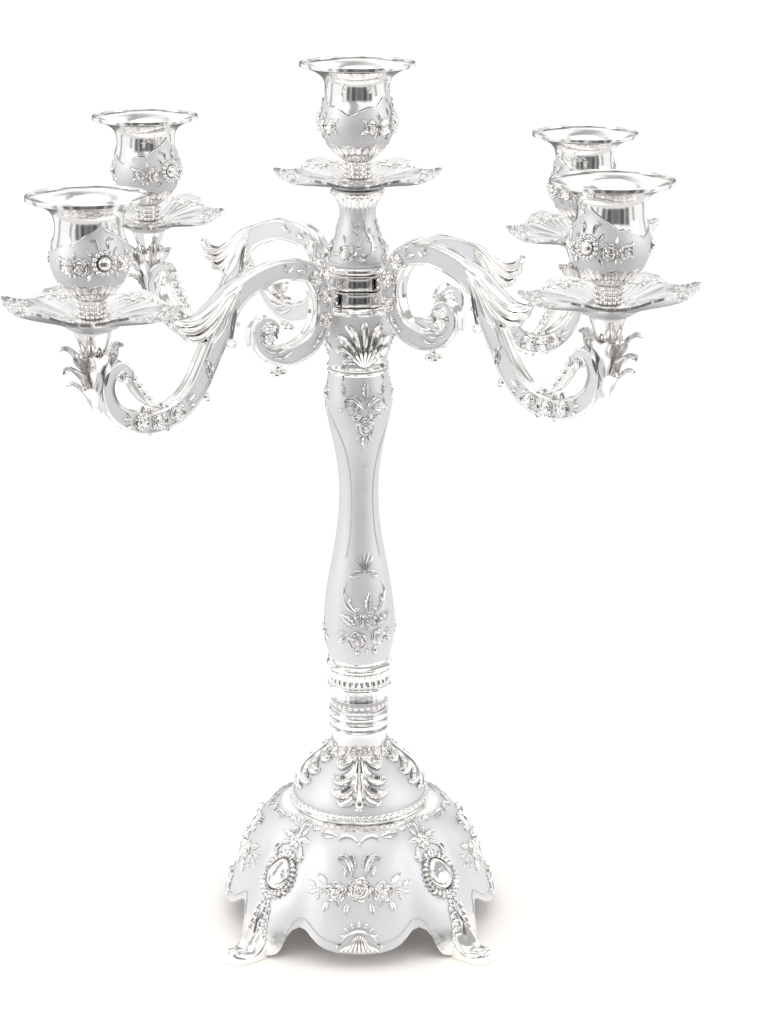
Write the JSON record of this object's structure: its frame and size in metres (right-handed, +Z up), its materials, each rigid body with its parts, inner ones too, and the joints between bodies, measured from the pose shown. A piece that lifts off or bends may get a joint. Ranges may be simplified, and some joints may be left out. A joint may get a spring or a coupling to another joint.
{
  "type": "tabletop candelabra",
  "caption": "Silver-plated table candelabra: baluster column on a lobed, footed base, a central light and scroll arms on swivel rings, each with a drip pan and flared candle cup.",
  "frame": {"origin": "on the table under the column's axis, at the centre of the base", "axes": "+Z up the column, front towards -Y, +X to the right; the arms lie near the diagonals"},
  "size_m": [0.2612, 0.2364, 0.37],
  "materials": {
    "satin_silver": "silver plate, finely frosted ground with bright polished raised ornament",
    "bright_silver": "polished silver plate",
    "plain_steel": "bare zinc-plated steel, out of sight"
  },
  "bodies": {
    "stand": {"base_casting": "satin_silver", "neck_collar": "bright_silver", "fluted_collar": "bright_silver", "column": "satin_silver", "capital": "satin_silver", "upper_stem": "satin_silver", "tie_rod": "plain_steel", "base_washer": "plain_steel", "base_nut": "plain_steel", "cup_stud_centre": "plain_steel", "drip_pan_centre": "bright_silver"},
    "lower_tier": {"arm_ring_lower": "bright_silver", "arm_front_left": "satin_silver", "arm_screw_front_left": "plain_steel", "cup_stud_front_left": "plain_steel", "drip_pan_front_left": "bright_silver", "arm_rear_right": "satin_silver", "arm_screw_rear_right": "plain_steel", "cup_stud_rear_right": "plain_steel", "drip_pan_rear_right": "bright_silver"},
    "upper_tier": {"arm_ring_upper": "bright_silver", "arm_front_right": "satin_silver", "arm_screw_front_right": "plain_steel", "cup_stud_front_right": "plain_steel", "drip_pan_front_right": "bright_silver", "arm_rear_left": "satin_silver", "arm_screw_rear_left": "plain_steel", "cup_stud_rear_left": "plain_steel", "drip_pan_rear_left": "bright_silver"},
    "cup_centre": {"candle_cup_centre": "satin_silver"},
    "cup_front_left": {"candle_cup_front_left": "satin_silver"},
    "cup_rear_right": {"candle_cup_rear_right": "satin_silver"},
    "cup_front_right": {"candle_cup_front_right": "satin_silver"},
    "cup_rear_left": {"candle_cup_rear_left": "satin_silver"}
  },
  "joints": [
    {"name": "lower_tier_swivel", "type": "hinge", "parent": "stand", "child": "lower_tier", "pos_m": [0, 0, 0.27618], "axis": [0, 0, 1], "continuous": true},
    {"name": "upper_tier_swivel", "type": "hinge", "parent": "lower_tier", "child": "upper_tier", "pos_m": [0, 0, 0.28282], "axis": [0, 0, 1], "range_deg": [-55, 37]},
    {"name": "cup_centre_turn", "type": "hinge", "parent": "stand", "child": "cup_centre", "pos_m": [0, 0, 0.3215], "axis": [0, 0, 1], "continuous": true},
    {"name": "cup_front_left_turn", "type": "hinge", "parent": "lower_tier", "child": "cup_front_left", "pos_m": [-0.09835, -0.07908, 0.28237], "axis": [0, 0, 1], "continuous": true},
    {"name": "cup_rear_right_turn", "type": "hinge", "parent": "lower_tier", "child": "cup_rear_right", "pos_m": [0.09835, 0.07908, 0.28237], "axis": [0, 0, 1], "continuous": true},
    {"name": "cup_front_right_turn", "type": "hinge", "parent": "upper_tier", "child": "cup_front_right", "pos_m": [0.09334, -0.08493, 0.28902], "axis": [0, 0, 1], "continuous": true},
    {"name": "cup_rear_left_turn", "type": "hinge", "parent": "upper_tier", "child": "cup_rear_left", "pos_m": [-0.09334, 0.08493, 0.28902], "axis": [0, 0, 1], "continuous": true}
  ]
}
